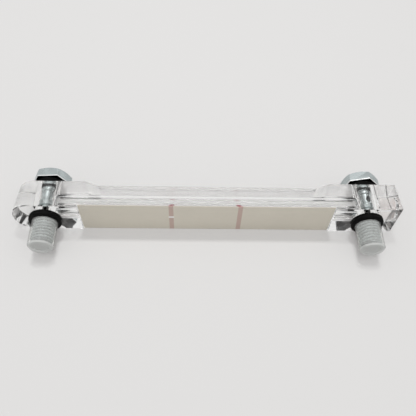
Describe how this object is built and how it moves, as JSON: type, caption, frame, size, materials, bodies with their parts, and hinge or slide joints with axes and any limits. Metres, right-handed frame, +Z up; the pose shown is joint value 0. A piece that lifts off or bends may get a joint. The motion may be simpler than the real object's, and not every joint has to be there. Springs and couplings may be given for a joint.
{
  "type": "tank level gauge",
  "caption": "Clear bar level gauge with an inner fluid channel, a marked scale strip, hollow hex screws, seals and thread caps.",
  "frame": {"origin": "bottom centre of the whole gauge as it lies on its long side face", "axes": "+X along the bar from the rounded end to the square end, +Y from the tank side to the screw heads, +Z up across the bar's width"},
  "size_m": [0.1798, 0.039, 0.0195],
  "materials": {
    "clear_plastic": "clear moulded acrylic, polished",
    "plug_plastic": "clear acrylic, bonded",
    "strip_film": "white film with two printed red lines",
    "zinc_steel": "turned, clear zinc plated",
    "seal_rubber": "moulded black rubber",
    "cap_plastic": "natural translucent polyethylene"
  },
  "bodies": {
    "root": {"clear_body": "clear_plastic", "channel_plug": "plug_plastic", "scale_strip": "strip_film", "round_end_screw": "zinc_steel", "round_end_head_seal": "seal_rubber", "round_end_tank_seal": "seal_rubber", "round_end_cap": "cap_plastic", "square_end_screw": "zinc_steel", "square_end_head_seal": "seal_rubber", "square_end_tank_seal": "seal_rubber", "square_end_cap": "cap_plastic"}
  },
  "joints": []
}
